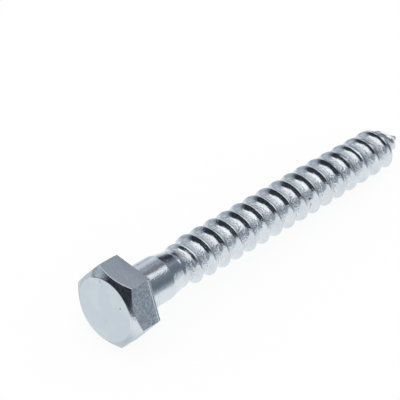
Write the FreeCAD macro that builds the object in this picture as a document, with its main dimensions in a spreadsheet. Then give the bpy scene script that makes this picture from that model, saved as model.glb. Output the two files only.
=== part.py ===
import FreeCAD, Part
import math
import os

import Sketcher

# A coach screw: a hexagon head, a plain shank, and a coarse right-hand wood thread that runs on
# down a gimlet point. It is one piece of steel. It lies as it comes to rest: one flat of the
# head is underneath, and the last full crest of the thread touches the floor.
# Millimetres, +Z up, +X from the head to the point.

SIZES = {
    # head
    "across_flats": 19.0,
    "head_height": 8.0,
    "disc_diameter": 16.7,
    "chamfer_angle": 37.0,
    "cove": 0.9,
    # shank, measured from the bearing face under the head
    "screw_length": 100.0,
    "shank_diameter": 12.0,
    "shank_length": 9.0,
    "neck_diameter": 10.1,
    "neck_distance": 14.4,
    # thread; crest_distance is where a crest first passes over the top of the screw
    "thread_diameter": 12.0,
    "end_thread_diameter": 11.2,
    "narrowing_length": 30.0,
    "core_diameter": 9.0,
    "pitch": 4.8,
    "flank_angle": 38.0,
    "runout_length": 7.4,
    "crest_distance": 14.1,
    # gimlet point
    "point_length": 8.0,
    "tip_diameter": 0.6,
    "tip_crest_diameter": 1.0,
    "ridge_end": 1.3,
}

# how far surfaces that only overlap inside the steel keep below the ones that show
BURIED = 0.2

doc = FreeCAD.newDocument("coach_screw_part")
sheet = doc.addObject("Spreadsheet::Sheet", "Sizes")
for row, (alias, value) in enumerate(SIZES.items(), start=1):
    sheet.set("A%d" % row, alias)
    sheet.set("B%d" % row, str(value))
    sheet.setAlias("B%d" % row, alias)
doc.recompute()


def size(alias):
    """A driving dimension, read back from the sheet."""
    return float(sheet.get(alias))


def origin_feature(body, role):
    """One of the body's own origin planes or axes."""
    return [item for item in body.Origin.OriginFeatures if item.Role == role][0]


def new_sketch(body, name, plane):
    """A sketch on an origin plane: XZ_Plane gives (along the screw, away from its axis)."""
    sketch = body.newObject("Sketcher::SketchObject", name)
    sketch.AttachmentSupport = [(origin_feature(body, plane), "")]
    sketch.MapMode = "FlatFace"
    return sketch


def draw_outline(sketch, corners):
    """A closed outline of straight lines, each one joined to the next."""
    points = [FreeCAD.Vector(x, y, 0) for x, y in corners]
    count = len(points)
    for i in range(count):
        sketch.addGeometry(Part.LineSegment(points[i], points[(i + 1) % count]), False)
    for i in range(count):
        sketch.addConstraint(Sketcher.Constraint("Coincident", i, 2, (i + 1) % count, 1))


def bind(sketch, name, constraint, formula):
    """Adds a named size to a sketch and ties it to the sheet."""
    index = sketch.addConstraint(constraint)
    sketch.renameConstraint(index, name)
    sketch.setExpression("Constraints." + name, formula)


# Blank: head, shank, neck, core and point, before the thread is added


def add_head(body):
    """The hexagon, with one flat up and one down, reaching back from the bearing face."""
    sketch = new_sketch(body, "head_outline", "YZ_Plane")
    reach = size("across_flats") / math.sqrt(3)
    corners = [(reach * math.cos(math.radians(60 * i)), reach * math.sin(math.radians(60 * i)))
               for i in range(6)]
    draw_outline(sketch, corners)
    circle = FreeCAD.Vector(0, 0, 0), FreeCAD.Vector(0, 0, 1), reach
    corner_circle = sketch.addGeometry(Part.Circle(*circle), True)
    sketch.addConstraint(Sketcher.Constraint("Coincident", corner_circle, 3, -1, 1))
    for side in range(6):
        sketch.addConstraint(Sketcher.Constraint("PointOnObject", side, 1, corner_circle))
    for side in range(1, 6):
        sketch.addConstraint(Sketcher.Constraint("Equal", 0, side))
    top_side = 1
    sketch.addConstraint(Sketcher.Constraint("Horizontal", top_side))
    half_flats = Sketcher.Constraint("DistanceY", -1, 1, top_side, 1, size("across_flats") / 2)
    bind(sketch, "half_flats", half_flats, "Sizes.across_flats / 2")

    head = body.newObject("PartDesign::Pad", "head")
    head.Profile = sketch
    head.Reversed = True
    head.setExpression("Length", "Sizes.head_height")
    return head


def add_turned_blank(body):
    """Everything turned: full shank, taper to the neck, thread run-out, core and point."""
    sketch = new_sketch(body, "blank_outline", "XZ_Plane")
    head_inside = -size("head_height") / 2
    shank, neck = size("shank_diameter") / 2, size("neck_diameter") / 2
    core, tip = size("core_diameter") / 2 - BURIED, size("tip_diameter") / 2
    length, neck_at = size("screw_length"), size("neck_distance")
    point_at = length - size("point_length")
    corners = [(head_inside, 0), (head_inside, shank), (size("shank_length"), shank), (neck_at, neck),
               (neck_at + size("runout_length"), core), (point_at, core), (length, tip), (length, 0)]
    draw_outline(sketch, corners)
    sketch.addConstraint(Sketcher.Constraint("PointOnObject", 0, 1, -1))
    sketch.addConstraint(Sketcher.Constraint("PointOnObject", 6, 2, -1))
    for side in (0, 6):
        sketch.addConstraint(Sketcher.Constraint("Vertical", side))
    for side in (1, 4):
        sketch.addConstraint(Sketcher.Constraint("Horizontal", side))
    places = [("head_inside", 0, head_inside, "-Sizes.head_height / 2"),
              ("shank_end", 2, size("shank_length"), "Sizes.shank_length"),
              ("neck_end", 3, neck_at, "Sizes.neck_distance"),
              ("runout_end", 4, neck_at + size("runout_length"),
               "Sizes.neck_distance + Sizes.runout_length"),
              ("point_start", 5, point_at, "Sizes.screw_length - Sizes.point_length"),
              ("screw_end", 6, length, "Sizes.screw_length")]
    for name, side, value, formula in places:
        bind(sketch, name, Sketcher.Constraint("DistanceX", -1, 1, side, 1, value), formula)
    radii = [("shank_radius", 2, shank, "Sizes.shank_diameter / 2"),
             ("neck_radius", 3, neck, "Sizes.neck_diameter / 2"),
             ("core_radius", 5, core, "Sizes.core_diameter / 2 - %s" % BURIED),
             ("tip_radius", 6, tip, "Sizes.tip_diameter / 2")]
    for name, side, value, formula in radii:
        bind(sketch, name, Sketcher.Constraint("DistanceY", -1, 1, side, 1, value), formula)

    turned = body.newObject("PartDesign::Revolution", "turned_blank")
    turned.Profile = sketch
    turned.ReferenceAxis = (origin_feature(body, "X_Axis"), [""])
    turned.Angle = 360
    return turned


def chamfer_head(body):
    """Cuts the corners of the head back to the round disc on its top."""
    sketch = new_sketch(body, "chamfer_outline", "XZ_Plane")
    top, disc = -size("head_height"), size("disc_diameter") / 2
    outside = size("across_flats")
    run = (outside - disc) * math.tan(math.radians(size("chamfer_angle")))
    draw_outline(sketch, [(top, disc), (top, outside), (top + run, outside)])
    sketch.addConstraint(Sketcher.Constraint("Vertical", 0))
    sketch.addConstraint(Sketcher.Constraint("Horizontal", 1))
    bind(sketch, "head_top", Sketcher.Constraint("DistanceX", -1, 1, 0, 1, top), "-Sizes.head_height")
    bind(sketch, "disc_radius", Sketcher.Constraint("DistanceY", -1, 1, 0, 1, disc),
         "Sizes.disc_diameter / 2")
    bind(sketch, "outside_radius", Sketcher.Constraint("DistanceY", -1, 1, 0, 2, outside),
         "Sizes.across_flats")
    bind(sketch, "slope_length", Sketcher.Constraint("DistanceX", 1, 1, 1, 2, run),
         "(Sizes.across_flats - Sizes.disc_diameter / 2) * tan(Sizes.chamfer_angle * 1deg)")

    chamfer = body.newObject("PartDesign::Groove", "chamfer")
    chamfer.Profile = sketch
    chamfer.ReferenceAxis = (origin_feature(body, "X_Axis"), [""])
    chamfer.Angle = 360
    return chamfer


def cove_under_head(body, base):
    """The small sloping corner where the shank meets the bearing face."""
    radius = size("shank_diameter") / 2
    for number, edge in enumerate(base.Shape.Edges, start=1):
        round_edge = isinstance(edge.Curve, Part.Circle) and abs(edge.Curve.Radius - radius) < 1e-6
        if round_edge and abs(edge.Curve.Center.x) < 1e-6:
            break
    cove = body.newObject("PartDesign::Chamfer", "cove")
    cove.Base = (base, ["Edge%d" % number])
    cove.setExpression("Size", "Sizes.cove")
    return cove


blank = doc.addObject("PartDesign::Body", "Blank")
blank.Label = "screw_blank"
add_head(blank)
add_turned_blank(blank)
chamfered = chamfer_head(blank)
doc.recompute()
cove_under_head(blank, chamfered)


# Thread: a core and a ridge wound together as one closed skin, turn by turn

POINTS_PER_TURN = 12

length, pitch = size("screw_length"), size("pitch")
neck_end = size("neck_distance")
runout_end = neck_end + size("runout_length")
neck, core, full = (size(name) / 2 for name in ("neck_diameter", "core_diameter", "thread_diameter"))
# the skin starts a turn before its root comes out of the run-out, and ends just short of the tip
root_shows = neck_end + size("runout_length") * (neck - core) / (neck - core + BURIED)
thread_end = length - size("ridge_end")
turns = math.ceil((thread_end - root_shows) / pitch) + 1
thread_start = thread_end - turns * pitch
start_turn = (thread_start - size("crest_distance")) / pitch


def core_radius(along):
    """Root of the thread: straight, then a cone that stays just under the point's own surface."""
    tip = size("tip_diameter") / 2
    cone = tip + (core - tip) * (length - along) / size("point_length")
    return min(core, cone - BURIED / 2)


def crest_radius(along):
    """Crest of the thread: out of the neck, straight, a little narrower at last, down the point."""
    rise = full - (full - neck) * (runout_end - along) / size("runout_length")
    end = size("end_thread_diameter") / 2
    left = length - along
    narrowed = end + (full - end) * (left - size("point_length")) / size("narrowing_length")
    tip = size("tip_crest_diameter") / 2
    fall = tip + (end - tip) * left / size("point_length")
    return max(core_radius(along) + BURIED / 2, min(rise, full, narrowed, fall))


def place(along, radius, turn):
    """A point at an angle given in turns from the top of the screw, wound right-handed."""
    angle = 2 * math.pi * turn
    return FreeCAD.Vector(along, -radius * math.sin(angle), radius * math.cos(angle))


def ridge_section(along):
    """The ridge cut along the screw: foot, crest and foot, each (along, radius)."""
    height = crest_radius(along) - core_radius(along)
    half_foot = height * math.tan(math.radians(size("flank_angle")))
    return [(along - half_foot, core_radius(along - half_foot)),
            (along, crest_radius(along)),
            (along + half_foot, core_radius(along + half_foot))]


def smooth(points):
    """A smooth curve through evenly timed points, so that two neighbours run side by side."""
    curve = Part.BSplineCurve()
    times = [step / POINTS_PER_TURN for step in range(POINTS_PER_TURN + 1)]
    curve.interpolate(Points=points, Parameters=times)
    return curve


def winding(line, turn):
    """One turn of one of the section's three corners."""
    points = []
    for step in range(POINTS_PER_TURN + 1):
        wound = turn + step / POINTS_PER_TURN
        corner = ridge_section(thread_start + pitch * wound)[line]
        points.append(place(*corner, start_turn + wound))
    return smooth(points)


def between(begin, end, radius, turn):
    """One turn from one place along the screw to another, at the radius that a function gives."""
    points = []
    for step in range(POINTS_PER_TURN + 1):
        share = step / POINTS_PER_TURN
        along = begin + (end - begin) * share
        points.append(place(along, radius(along), turn + share))
    return smooth(points)


def strip(first, second):
    """The ruled face between two neighbouring curves."""
    surface = Part.BSplineSurface()
    surface.buildFromPolesMultsKnots([first.getPoles(), second.getPoles()], [2, 2],
                                     first.getMultiplicities(), [0, 1], first.getKnots(),
                                     False, False, 1, first.Degree)
    return surface.toShape()


def inner_end(foot, turn):
    """Closes an open end of the skin inside the steel, down to the screw's axis."""
    section = [place(*corner, start_turn + turn)
               for corner in ridge_section(thread_start + pitch * turn)]
    axis = between(foot.StartPoint.x, foot.EndPoint.x, lambda along: 0, 0)
    outline = [axis.StartPoint] + section + [foot.EndPoint, axis.EndPoint, axis.StartPoint]
    return [strip(foot, axis), Part.Face(Part.makePolygon(outline))]


def wound_thread():
    """The whole threaded core as one solid."""
    feet = [winding(0, turn) for turn in range(turns)]
    last_foot = ridge_section(thread_end)[0][0]
    feet.append(between(last_foot, length - BURIED, core_radius, start_turn + turns - 1))
    skin = inner_end(feet[0], 0) + inner_end(feet[-1], turns)
    for turn in range(turns):
        lines = [feet[turn], winding(1, turn), winding(2, turn), feet[turn + 1]]
        skin += [strip(*pair) for pair in zip(lines[:-1], lines[1:])]
    shell = Part.Compound(skin)
    shell.sewShape()
    solid = Part.Solid(shell.Shells[0])
    if solid.Volume < 0:
        solid.reverse()
    return solid


thread = doc.addObject("Part::Feature", "Thread")
thread.Label = "wound_thread"
thread.Shape = wound_thread()

screw = doc.addObject("Part::Fuse", "Screw")
screw.Label = "coach_screw"
screw.Base = blank
screw.Tool = thread
screw.Refine = False


# Rest: the bearing edge of the lowest flat and the first crest to touch lie on the floor

half_flats = size("across_flats") / 2
crests = [size("crest_distance") + pitch * (turn + 0.5) for turn in range(turns)]
tilt = min(math.atan((half_flats - crest_radius(along)) / along) for along in crests)
tip_reach = length * math.cos(tilt) + size("tip_diameter") / 2 * math.sin(tilt)
head_reach = size("head_height") * math.cos(tilt) + size("disc_diameter") / 2 * math.sin(tilt)
middle = FreeCAD.Vector((head_reach - tip_reach) / 2, 0, half_flats * math.cos(tilt))
screw.Placement = FreeCAD.Placement(middle, FreeCAD.Rotation(FreeCAD.Vector(0, 1, 0), math.degrees(tilt)))
doc.recompute()


# Checks, then the file

for item in doc.Objects:
    if "Invalid" in item.State or "Error" in item.State:
        raise RuntimeError("%s failed: %s" % (item.Name, item.State))
shape = screw.Shape
if shape.isNull() or not shape.isValid() or len(shape.Solids) != 1:
    raise RuntimeError("coach_screw isn't one valid solid")

os.makedirs("parts", exist_ok=True)
shape.exportStep("parts/%s.step" % screw.Label)
print("coach_screw: %.0f mm3, lies tilted %.2f degrees" % (shape.Volume, math.degrees(tilt)))
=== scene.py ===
import math

import bpy
from mathutils import Matrix, Vector, noise


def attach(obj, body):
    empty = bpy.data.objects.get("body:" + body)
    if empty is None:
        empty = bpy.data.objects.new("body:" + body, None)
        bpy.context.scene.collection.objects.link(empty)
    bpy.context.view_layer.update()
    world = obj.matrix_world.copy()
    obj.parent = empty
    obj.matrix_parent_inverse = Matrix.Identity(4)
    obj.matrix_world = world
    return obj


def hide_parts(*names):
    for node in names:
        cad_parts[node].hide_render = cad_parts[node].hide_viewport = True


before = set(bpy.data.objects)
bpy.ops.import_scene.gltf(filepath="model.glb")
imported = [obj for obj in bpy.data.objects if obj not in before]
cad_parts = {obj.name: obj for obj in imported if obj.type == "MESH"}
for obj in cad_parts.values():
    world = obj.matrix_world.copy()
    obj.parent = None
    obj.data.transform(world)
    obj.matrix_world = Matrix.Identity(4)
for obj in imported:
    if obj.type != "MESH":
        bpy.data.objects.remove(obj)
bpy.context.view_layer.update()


# Shank, thread and point: one length of steel wire. The plain shank tapers to a neck, and from
# there a wood thread is rolled in, right-handed, down to the tip. Rolling leaves rounded roots
# with shallow dents, and crests that are low at both ends and blunter towards the point.

# millimetres, along the screw from the bearing face under the head
MM = 0.001
LENGTH = 100.0
SHANK_RADIUS = 5.9
SHANK_END = 10.2
NECK_RADIUS = 5.05
NECK = 14.4
ROOT_RADIUS = 4.5
ROOT_FULL = 18.2
CREST_RADIUS = 6.0
CREST_START = 15.4
CREST_FULL = 22.2
NARROWING_START = 62.0
END_CREST_RADIUS = 5.6
POINT_LENGTH = 8.0
POINT_FULLNESS = 0.85
TIP_RADIUS = 0.3
TIP_ROUNDING = 0.5
TIP_FULLNESS = 0.6
UNDERCUT = 1.0
PITCH = 4.8
TOP_CREST = 14.1
TURNS_AHEAD = 3
STEPS = 96
SAME_POINT = 0.001
TIP_MERGE = 0.004
BLUNT_START = 66.0
BLUNT_FULL = 84.0
BLUNTNESS = 0.3
DENT_SIZE = 0.9
DENT_DEPTH = 0.012
FINE_DENT_SIZE = 0.45
FINE_DENT_SHARE = 0.6
DENTS_START = 15.5
DENTS_FULL = 19.0
DENTS_END = 0.5
DENTS_FADE = 3.0

# half of the ridge, as (distance from the crest, share of the thread's height)
RIDGE = [(0.0, 1.0), (0.1, 0.995), (0.17, 0.975), (0.24, 0.93), (0.42, 0.74), (0.6, 0.56),
         (0.73, 0.43), (0.86, 0.32), (1.02, 0.22), (1.22, 0.135), (1.48, 0.068), (1.8, 0.025),
         (2.1, 0.006), (2.4, 0.0)]


def soft_step(low, high, value):
    """0 at low, 1 at high, and a soft rise between them."""
    share = min(1.0, max(0.0, (value - low) / (high - low)))
    return share * share * (3 - 2 * share)


def root_radius(along):
    """The steel under the ridge: cove, shank, taper, neck, straight core and point."""
    if along < UNDERCUT:
        rest = UNDERCUT - max(along, 0.0)
        return SHANK_RADIUS + UNDERCUT - math.sqrt(UNDERCUT ** 2 - rest ** 2)
    if along < NECK:
        taper = max(0.0, (along - SHANK_END) / (NECK - SHANK_END))
        return SHANK_RADIUS - (SHANK_RADIUS - NECK_RADIUS) * taper
    if along < LENGTH - POINT_LENGTH:
        return NECK_RADIUS - (NECK_RADIUS - ROOT_RADIUS) * soft_step(NECK, ROOT_FULL, along)
    left = LENGTH - along
    cone = TIP_RADIUS + (ROOT_RADIUS - TIP_RADIUS) * left / POINT_LENGTH
    return cone * min(1.0, max(0.0, left) / TIP_ROUNDING) ** TIP_FULLNESS


def crest_radius(along):
    """The outside of the ridge: it rises out of the neck, runs on, narrows and falls away."""
    rise = NECK_RADIUS + (CREST_RADIUS - NECK_RADIUS) * soft_step(CREST_START, CREST_FULL, along)
    left = max(0.0, LENGTH - along)
    narrowing = soft_step(NARROWING_START, LENGTH - POINT_LENGTH, along)
    narrowed = CREST_RADIUS - (CREST_RADIUS - END_CREST_RADIUS) * narrowing
    fall = END_CREST_RADIUS * (left / POINT_LENGTH) ** POINT_FULLNESS
    return max(root_radius(along), min(rise, narrowed, fall))


profile = [(-distance, height) for distance, height in reversed(RIDGE)] + RIDGE[1:]
first_crest = TOP_CREST - PITCH * TURNS_AHEAD
turns = math.ceil((LENGTH - first_crest) / PITCH) + 1

bpy.ops.object.select_all(action="DESELECT")
bpy.ops.mesh.primitive_plane_add(size=MM)
thread = bpy.context.object
thread.name = "rolled_thread"
bpy.ops.object.mode_set(mode="EDIT")
bpy.ops.mesh.select_all(action="SELECT")
bpy.ops.mesh.merge(type="CENTER")
here = profile[0]
bpy.ops.transform.translate(value=Vector((first_crest + here[0], 0, ROOT_RADIUS)) * MM)
for corner in profile[1:]:
    rise = (corner[1] - here[1]) * (CREST_RADIUS - ROOT_RADIUS)
    step = Vector((corner[0] - here[0], 0, rise)) * MM
    bpy.ops.mesh.extrude_vertices_move(TRANSFORM_OT_translate={"value": step})
    here = corner
bpy.ops.object.mode_set(mode="OBJECT")

winding = thread.modifiers.new("winding", "SCREW")
winding.axis = "X"
winding.screw_offset = PITCH * MM
winding.iterations = turns
winding.steps = STEPS
winding.render_steps = STEPS
winding.use_merge_vertices = True
winding.merge_threshold = SAME_POINT * MM
bpy.ops.object.modifier_apply(modifier="winding")

for vertex in thread.data.vertices:
    x, y, z = vertex.co / MM
    radius = math.hypot(y, z)
    share = (radius - ROOT_RADIUS) / (CREST_RADIUS - ROOT_RADIUS)
    along = min(x, LENGTH)
    root, crest = root_radius(along), crest_radius(along)
    blunt = soft_step(BLUNT_START, BLUNT_FULL, along)
    share = min(1.0, share * (1 + BLUNTNESS * blunt))
    place = Vector((x, y, z))
    dent = noise.noise(place / DENT_SIZE) + FINE_DENT_SHARE * noise.noise(place / FINE_DENT_SIZE)
    depth = DENT_DEPTH * (1 - share) * soft_step(DENTS_START, DENTS_FULL, along)
    dent *= depth * soft_step(DENTS_END, DENTS_FADE, LENGTH - along)
    shaped = root + (crest - root) * share + dent
    vertex.co = Vector((along, y / radius * shaped, z / radius * shaped)) * MM

bpy.ops.object.mode_set(mode="EDIT")
bpy.ops.mesh.select_all(action="SELECT")
bpy.ops.mesh.remove_doubles(threshold=TIP_MERGE * MM)
bpy.ops.mesh.select_all(action="DESELECT")
bpy.ops.mesh.select_non_manifold()
bpy.ops.mesh.fill()
bpy.ops.mesh.select_all(action="SELECT")
bpy.ops.mesh.normals_make_consistent(inside=False)
bpy.ops.object.mode_set(mode="OBJECT")


# Head: a hexagon forged in one with the shank. Its corners are cut back to a round disc, and the
# forging dies leave a small step round the bearing face, except on the top flat, which only
# dips a little towards it. All its edges are slightly worn.

ACROSS_FLATS = 19.0
HEAD_HEIGHT = 8.0
DISC_RADIUS = 8.35
CHAMFER_ANGLE = 37
CHAMFER_STEPS = 240
STEP_TOP = 0.78
STEP_SLOPE = 0.17
STEP_DEPTH = 0.12
DIP_START = 2.65
DIP_DEPTH = 0.07
NEAR = 0.01
EDGE_ANGLE = 12
EDGE_WIDTH = 0.11
EDGE_STEPS = 3
CUT_MERGE = 0.01
SEAM_MERGE = 0.002
SHARP_ANGLE = 40
FLAT_WEIGHT = 90


def join_close_points(distance):
    """Points that a cut leaves on top of each other become one, so that no face is folded."""
    bpy.ops.object.mode_set(mode="EDIT")
    bpy.ops.mesh.select_all(action="SELECT")
    bpy.ops.mesh.remove_doubles(threshold=distance * MM)
    bpy.ops.mesh.dissolve_degenerate(threshold=distance * MM)
    bpy.ops.object.mode_set(mode="OBJECT")


chamfer_slope = math.tan(math.radians(CHAMFER_ANGLE))
corner_radius = ACROSS_FLATS / 2 / math.cos(math.radians(30))
bpy.ops.object.select_all(action="DESELECT")
bpy.ops.mesh.primitive_cylinder_add(vertices=6, radius=corner_radius * MM,
                                    depth=HEAD_HEIGHT * MM,
                                    location=(-HEAD_HEIGHT / 2 * MM, 0, 0),
                                    rotation=(0, math.radians(90), 0))
head = bpy.context.object
head.name = "coach_screw_body"
bpy.ops.object.transform_apply(location=True, rotation=True, scale=True)
bpy.ops.object.mode_set(mode="EDIT")
for cut in (STEP_TOP - STEP_SLOPE, STEP_TOP, DIP_START):
    bpy.ops.mesh.select_all(action="SELECT")
    bpy.ops.mesh.bisect(plane_co=(-cut * MM, 0, 0), plane_no=(1, 0, 0))
bpy.ops.object.mode_set(mode="OBJECT")
for vertex in head.data.vertices:
    x, y, z = vertex.co / MM
    on_top = z > ACROSS_FLATS / 2 - NEAR
    if x > -(STEP_TOP - 0.5 * STEP_SLOPE):
        shrink = 1 - STEP_DEPTH * 2 / ACROSS_FLATS
        y, z = y * shrink, z * shrink
    if on_top:
        z = ACROSS_FLATS / 2 - DIP_DEPTH * soft_step(0.0, DIP_START, DIP_START + x)
    vertex.co = Vector((x, y, z)) * MM

cone_height = HEAD_HEIGHT + 1.0
bpy.ops.object.select_all(action="DESELECT")
bpy.ops.mesh.primitive_cone_add(vertices=CHAMFER_STEPS, radius1=DISC_RADIUS * MM,
                                radius2=(DISC_RADIUS + cone_height / chamfer_slope) * MM,
                                depth=cone_height * MM,
                                location=((cone_height / 2 - HEAD_HEIGHT) * MM, 0, 0),
                                rotation=(0, math.radians(90), 0))
lathe_cut = bpy.context.object
turned = head.modifiers.new("lathe_cut", "BOOLEAN")
turned.operation = "INTERSECT"
turned.solver = "EXACT"
turned.object = lathe_cut
bpy.context.view_layer.objects.active = head
bpy.ops.object.modifier_apply(modifier="lathe_cut")
bpy.data.objects.remove(lathe_cut)

join_close_points(CUT_MERGE)
rounded = head.modifiers.new("worn_edges", "BEVEL")
rounded.limit_method = "ANGLE"
rounded.angle_limit = math.radians(EDGE_ANGLE)
rounded.width = EDGE_WIDTH * MM
rounded.segments = EDGE_STEPS
bpy.ops.object.modifier_apply(modifier="worn_edges")

forged = head.modifiers.new("one_piece", "BOOLEAN")
forged.operation = "UNION"
forged.solver = "EXACT"
forged.object = thread
bpy.ops.object.modifier_apply(modifier="one_piece")
bpy.data.objects.remove(thread)
bpy.ops.object.select_all(action="DESELECT")
head.select_set(True)
join_close_points(SEAM_MERGE)
bpy.ops.object.shade_smooth_by_angle(angle=math.radians(SHARP_ANGLE))
level = head.modifiers.new("level_faces", "WEIGHTED_NORMAL")
level.weight = FLAT_WEIGHT
level.keep_sharp = True
bpy.ops.object.modifier_apply(modifier="level_faces")


# Rest: a screw has nothing to stand on, so it lies as it would on a bench, on the bearing edge of
# its lowest flat and on one crest near the point. That tips it a little towards the point.

LAST_CREST = 88.5
LAST_CREST_RADIUS = 5.6467
dip = math.atan((ACROSS_FLATS / 2 - LAST_CREST_RADIUS) / LAST_CREST)
tip_reach = LENGTH * math.cos(dip) + TIP_RADIUS * math.sin(dip)
head_reach = HEAD_HEIGHT * math.cos(dip) + DISC_RADIUS * math.sin(dip)
axis_height = ACROSS_FLATS / 2 * math.cos(dip)
screw_centre = Vector(((head_reach - tip_reach) / 2, 0, axis_height)) * MM
head.rotation_euler = (0, dip, 0)
head.location = screw_centre
bpy.ops.object.transform_apply(location=True, rotation=True, scale=True)

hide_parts("coach_screw")
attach(head, "root")


# Finish: bright zinc plating with a blue passivation. The disc and the top flat are smooth, the
# other flats mottled, and the rolled roots uneven, so that they catch the light in small spots.
# Handling has left a few scuffs and one small pit.

# where a zone begins and is full, in millimetres: along the screw, from its axis, or up from it
ROLLING = (15.0, 17.5)
DISC = (-7.85, -7.95)
SIDE_FLATS = (8.4, 9.3)
BELOW_TOP = (9.44, 9.3)
OFF_CONE = (0.0, 0.2)
OFF_STEP = (-0.7, -1.0)
DARKER_TIP = (97.8, 99.4)

# the uneven root, in shares of the pitch past a crest: it begins, is full, is still full, ends
ROOT_SPAN = (0.03, 0.12, 0.66, 0.74)

# how large the lumps of each pattern are, in millimetres
FINE_SIZE = 0.42
GRAIN_SIZE = 0.36
KNOB_SIZE = 0.62
PATCH_SIZE = 0.85
CLOUD_SIZE = 5.0

# the levels of a pattern between which its tone changes, and how much it counts
FINE_LEVELS = (0.36, 0.64)
PATCH_LEVELS = (0.34, 0.66)
CLOUD_LEVELS = (0.3, 0.7)
HAZE_LEVELS = (0.42, 0.62)
FINE_SHARE = 0.2
CLOUD_SHARE = 0.3
DARKEST_CLOUD = 0.35
ROLLED_SHARE = 0.5
DISC_POLISH = 0.85

PALE = (0.83, 0.87, 0.89, 1)
DEEP = (0.58, 0.63, 0.68, 1)
ROLLED_TONE = (0.90, 0.93, 0.95, 1)
DISC_TONE = (0.865, 0.915, 0.95, 1)
DISC_HAZE = (0.81, 0.87, 0.925, 1)
TIP_TONE = (0.34, 0.37, 0.40, 1)
MARK_TONE = (0.10, 0.11, 0.13, 1)

MARKS = [
    # place along, across and up, then the size and strength of a scuff or pit
    ((-8.0, -4.55, 3.58), 0.3, 0.9),
    ((-8.0, 2.85, 7.0), 0.65, 0.2),
    ((-8.0, -0.9, -2.95), 0.9, 0.05),
    ((-8.0, -0.45, 4.8), 0.8, 0.05),
    ((61.04, -4.11, 1.83), 0.6, 0.7),
    ((61.4, -4.5, -0.09), 0.6, 0.35),
]
MARK_EDGE = 0.3

ROUGHNESS = 0.13
GRAIN_ROUGHNESS = 0.1
ROLLED_ROUGHNESS = 0.04
GRAIN_RELIEF = 0.05
GRAIN_STRENGTH = 0.8
ROOT_RELIEF = 0.22


class Wire:
    """One output of a node. Sums, products and powers of wires become Math nodes."""

    def __init__(self, tree, socket):
        self.tree = tree
        self.socket = socket

    def maths(self, operation, first, second=0.0):
        return self.tree.node("ShaderNodeMath", {"operation": operation}, {0: first, 1: second})

    def __add__(self, other):
        return self.maths("ADD", self, other)

    def __radd__(self, other):
        return self.maths("ADD", other, self)

    def __sub__(self, other):
        return self.maths("SUBTRACT", self, other)

    def __rsub__(self, other):
        return self.maths("SUBTRACT", other, self)

    def __mul__(self, other):
        return self.maths("MULTIPLY", self, other)

    def __rmul__(self, other):
        return self.maths("MULTIPLY", other, self)

    def __truediv__(self, other):
        return self.maths("DIVIDE", self, other)

    def __pow__(self, other):
        return self.maths("POWER", self, other)

    def __abs__(self):
        return self.maths("ABSOLUTE", self)


class Tree:
    """A node tree, filled by one call for each node."""

    def __init__(self, owner):
        owner.use_nodes = True
        self.tree = owner.node_tree
        self.tree.nodes.clear()

    def node(self, kind, settings=None, inputs=None, output=0):
        """Adds a node, sets it, fills or links its sockets and gives one of its outputs."""
        made = self.tree.nodes.new(kind)
        for name, setting in (settings or {}).items():
            setattr(made, name, setting)
        for name, term in (inputs or {}).items():
            if isinstance(term, Wire):
                self.tree.links.new(term.socket, made.inputs[name])
            else:
                made.inputs[name].default_value = term
        return Wire(self, made.outputs[output]) if len(made.outputs) else None

    def ramp(self, value, low, high):
        """0 at low, 1 at high, and a soft rise between them; low may be the larger."""
        return self.node("ShaderNodeMapRange", {"interpolation_type": "SMOOTHSTEP"},
                         {"Value": value, "From Min": low, "From Max": high})

    def mix(self, share, first, second):
        """A colour between two colours."""
        return self.node("ShaderNodeMix", {"data_type": "RGBA"},
                         {0: share, 6: first, 7: second}, 2)

    def zone(self, value, limits):
        """0 at the first limit and 1 at the second, both in millimetres."""
        return self.ramp(value, limits[0] * MM, limits[1] * MM)

    def lumps(self, place, size, detail):
        """Noise whose lumps are about size millimetres across."""
        return self.node("ShaderNodeTexNoise", {}, {"Vector": place, "Scale": 1 / (size * MM),
                                                    "Detail": detail})


zinc = bpy.data.materials.new("bright_zinc")
plate = Tree(zinc)
place = plate.node("ShaderNodeTexCoord", output="Object")
own = plate.node("ShaderNodeMapping", {"vector_type": "TEXTURE"},
                 {"Vector": place, "Location": screw_centre, "Rotation": (0, dip, 0)})
along, across, up = (plate.node("ShaderNodeSeparateXYZ", {}, {0: own}, axis)
                     for axis in range(3))
radius = (across * across + up * up) ** 0.5
turn = plate.node("ShaderNodeMath", {"operation": "ARCTAN2"}, {0: 0 - across, 1: up})
# how far past a crest, in shares of the pitch; whole turns are added so that it isn't below 0
phase = plate.node("ShaderNodeMath", {"operation": "FRACT"},
                   {0: (along - TOP_CREST * MM) / (PITCH * MM) - turn / (2 * math.pi) + 4})

root_start, root_full, root_last, root_end = ROOT_SPAN
threaded = plate.zone(along, ROLLING)
on_disc = plate.zone(along, DISC)
rolled = threaded * plate.ramp(phase, root_start, root_full)
rolled = rolled * plate.ramp(phase, root_end, root_last)
smooth_disc = 1 - DISC_POLISH * on_disc

fine = plate.lumps(own, FINE_SIZE, 1.0)
grain = plate.lumps(own, GRAIN_SIZE, 1.0)
knobs = plate.lumps(own, KNOB_SIZE, 1.0)
patches = plate.lumps(own, PATCH_SIZE, 2.0)
cloud = plate.lumps(own, CLOUD_SIZE, 2.0)

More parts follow.
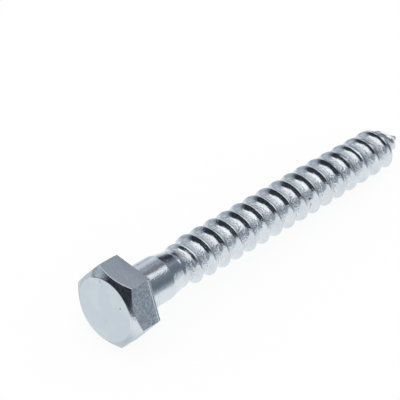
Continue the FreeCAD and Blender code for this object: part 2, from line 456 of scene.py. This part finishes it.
cone_gap = (along + HEAD_HEIGHT * MM) / chamfer_slope + DISC_RADIUS * MM - radius
on_side = plate.zone(radius, SIDE_FLATS) * plate.zone(up, BELOW_TOP)
on_side = on_side * plate.zone(cone_gap, OFF_CONE) * plate.zone(along, OFF_STEP)
mottle = (plate.ramp(patches, *PATCH_LEVELS) - 0.5) * on_side
spots = (plate.ramp(fine, *FINE_LEVELS) - 0.5) * FINE_SHARE + mottle
spots = spots + plate.ramp(cloud, *CLOUD_LEVELS) * CLOUD_SHARE + DARKEST_CLOUD
tint = plate.mix(spots, DEEP, PALE)
tint = plate.mix(rolled * ROLLED_SHARE, tint, ROLLED_TONE)
hazy = plate.mix(plate.ramp(cloud, *HAZE_LEVELS), DISC_HAZE, DISC_TONE)
tint = plate.mix(on_disc, tint, hazy)
# the tint turns darker towards the very tip
tint = plate.mix(plate.zone(along, DARKER_TIP), tint, TIP_TONE)

worn = 0.0
for spot, size, strength in MARKS:
    away = plate.node("ShaderNodeVectorMath", {"operation": "DISTANCE"},
                      {0: own, 1: Vector(spot) * MM}, "Value")
    ragged = away + (grain - 0.5) * (size * MM)
    worn = plate.zone(ragged, (size, MARK_EDGE * size)) * strength + worn
tint = plate.mix(worn, tint, MARK_TONE)

shine = ROUGHNESS + GRAIN_ROUGHNESS * grain * smooth_disc + ROLLED_ROUGHNESS * rolled
skin = plate.node("ShaderNodeBump", {}, {"Height": fine * smooth_disc,
                                         "Strength": GRAIN_STRENGTH,
                                         "Distance": GRAIN_RELIEF * MM})
uneven = plate.node("ShaderNodeBump", {}, {"Height": (knobs + grain - 1.0) * rolled,
                                           "Strength": 1.0, "Distance": ROOT_RELIEF * MM,
                                           "Normal": skin})
steel = plate.node("ShaderNodeBsdfPrincipled", {}, {"Base Color": tint, "Metallic": 1.0,
                                                    "Roughness": shine, "Normal": uneven})
plate.node("ShaderNodeOutputMaterial", {}, {"Surface": steel})
head.data.materials.clear()
head.data.materials.append(zinc)


# Floor: a plain white sheet that the screw lies on, with the screw's soft shadow. The metal
# mirrors it as a painted glow: white along the screw, a little painted shade beside the head,
# grey further to the sides and dark far beyond the head.

SHEET_SIZE = 4.0
WHITE = (1.0, 1.0, 1.0, 1)
NEAR_TONE = (0.95, 0.965, 0.98, 1)
SIDE_TONE = (0.36, 0.41, 0.465, 1)
BY_HEAD_PAINTED_SHADE = (0.68, 0.715, 0.74, 1)
FAR_TONE = (0.10, 0.11, 0.13, 1)
LIT_SHARE = 0.9

# where a tone begins and is full, in metres: ahead along the screw, and aside from it
NEAR_ASIDE = (0.11, 0.03)
BY_HEAD_AHEAD = (-0.032, -0.046)
BY_HEAD_ASIDE = (-0.018, -0.008)
FAR_AHEAD = (-0.075, -0.15)

bpy.ops.object.select_all(action="DESELECT")
bpy.ops.mesh.primitive_plane_add(size=SHEET_SIZE)
floor = bpy.context.object
floor.name = "white_sheet"
sheet = bpy.data.materials.new("white_paper")
paper = Tree(sheet)
seen = paper.node("ShaderNodeLightPath", output="Is Camera Ray")
mirrored = paper.node("ShaderNodeLightPath", output="Is Glossy Ray")
place = paper.node("ShaderNodeTexCoord", output="Object")
ahead, aside = (paper.node("ShaderNodeSeparateXYZ", {}, {0: place}, axis) for axis in range(2))
# painted light and shade, seen only in the metal's mirror: white near the screw, grey to the
# sides
glow = paper.mix(paper.ramp(abs(aside), *NEAR_ASIDE), SIDE_TONE, NEAR_TONE)
# painted shadow beside the head, where the head's own shadow falls on the sheet
painted_head_shade = paper.ramp(ahead, *BY_HEAD_AHEAD) * paper.ramp(aside, *BY_HEAD_ASIDE)
glow = paper.mix(painted_head_shade, glow, BY_HEAD_PAINTED_SHADE)
# painted shade, dark far beyond the head
glow = paper.mix(paper.ramp(ahead, *FAR_AHEAD), glow, FAR_TONE)
glow = paper.mix(seen, glow, WHITE)
matt = paper.node("ShaderNodeBsdfDiffuse", {}, {"Color": WHITE})
bright = paper.node("ShaderNodeEmission", {}, {"Color": glow})
lit = seen * LIT_SHARE + mirrored
mixed = paper.node("ShaderNodeMixShader", {}, {0: lit, 1: matt, 2: bright})
paper.node("ShaderNodeOutputMaterial", {}, {"Surface": mixed})
floor.data.materials.append(sheet)


# Studio: white all round for the floor and the background. The metal mirrors a grey room with a
# bright ceiling, and cards hung round the screw, pale or dark. They are out of the picture and
# show only in the plating.

# how steeply a mirrored direction rises where the ceiling begins and is full
CEILING = (0.665, 0.705)
CEILING_TONE = (1.15, 1.16, 1.18, 1)
WALL_TONE = (0.36, 0.40, 0.45, 1)
CARDS = [
    # azimuth, elevation, width, height and soft edge in degrees, and tone
    (52, 5, 26, 52, 5, (0.74, 0.78, 0.84, 1)),
    (102, -2, 40, 44, 12, (0.66, 0.70, 0.76, 1)),
    (-45, 19, 74, 26, 6, (0.15, 0.18, 0.225, 1)),
    (-45, 38.5, 74, 17, 3, (0.17, 0.205, 0.255, 1)),
    (-14, -1, 54, 12, 3, (0.82, 0.84, 0.87, 1)),
    (18, 53, 24, 22, 3, (0.20, 0.19, 0.22, 1)),
    (37, 38, 22, 14, 3, (0.33, 0.365, 0.41, 1)),
    (24, 14, 34, 30, 3, (0.03, 0.036, 0.05, 1)),
    (-160, 38, 60, 16, 5, (1.05, 1.06, 1.08, 1)),
    (146, 40, 32, 34, 6, (0.05, 0.055, 0.07, 1)),
    (164, 20, 52, 46, 4, (0.018, 0.022, 0.032, 1)),
    (-164, 12, 36, 44, 4, (0.018, 0.022, 0.032, 1)),
]

studio = bpy.data.worlds.new("studio")
bpy.context.scene.world = studio
room = Tree(studio)
direction = room.node("ShaderNodeTexCoord", output="Generated")


def facing(vector):
    """How far the mirrored direction points along a vector, from -1 to 1."""
    return room.node("ShaderNodeVectorMath", {"operation": "DOT_PRODUCT"},
                     {0: direction, 1: vector}, "Value")


def hang_card(backdrop, azimuth, elevation, width, height, edge, tone):
    """A card in front of the backdrop: its middle, full size and soft edge, all in degrees."""
    level = math.cos(math.radians(elevation))
    middle = Vector((level * math.cos(math.radians(azimuth)),
                     level * math.sin(math.radians(azimuth)),
                     math.sin(math.radians(elevation))))
    aside = Vector((0, 0, 1)).cross(middle).normalized()
    above = middle.cross(aside)
    ahead = facing(middle)
    mask = room.ramp(ahead, 0.0, 0.1)
    for vector, size in ((aside, width), (above, height)):
        inner = math.tan(math.radians(max(0.0, size / 2 - edge)))
        outer = math.tan(math.radians(size / 2 + edge))
        mask = mask * room.ramp(abs(facing(vector) / ahead), outer, inner)
    return room.mix(mask, backdrop, tone)


upward = room.node("ShaderNodeSeparateXYZ", {}, {0: direction}, 2)
mirror = room.mix(room.ramp(upward, *CEILING), WALL_TONE, CEILING_TONE)
for card in CARDS:
    mirror = hang_card(mirror, *card)
mirrored = room.node("ShaderNodeLightPath", output="Is Glossy Ray")
shown = room.mix(mirrored, WHITE, mirror)
sky = room.node("ShaderNodeBackground", {}, {"Color": shown})
room.node("ShaderNodeOutputWorld", {}, {"Surface": sky})


# Camera: a long lens that looks down at the screw from beyond its head, turned a little on its
# side. Its place was fitted to the corners of the head, the thread and the tip.

EYE = Vector((-447.075, -328.92, 497.757)) * MM
AIM = Vector((-6.873, 13.042, 9.0)) * MM
ROLL = 8.454
SENSOR = 36.0
FOCAL = 268.87
NEAREST = 0.01
lens = bpy.data.cameras.new("camera")
lens.sensor_fit = "HORIZONTAL"
lens.sensor_width = SENSOR
lens.lens = FOCAL
lens.clip_start = NEAREST
camera = bpy.data.objects.new("camera", lens)
bpy.context.scene.collection.objects.link(camera)
look = (AIM - EYE).to_track_quat("-Z", "Y").to_matrix()
roll = Matrix.Rotation(math.radians(ROLL), 3, "Z")
camera.matrix_world = Matrix.Translation(EYE) @ (look @ roll).to_4x4()
bpy.context.scene.camera = camera
bpy.context.scene.view_settings.view_transform = "Standard"
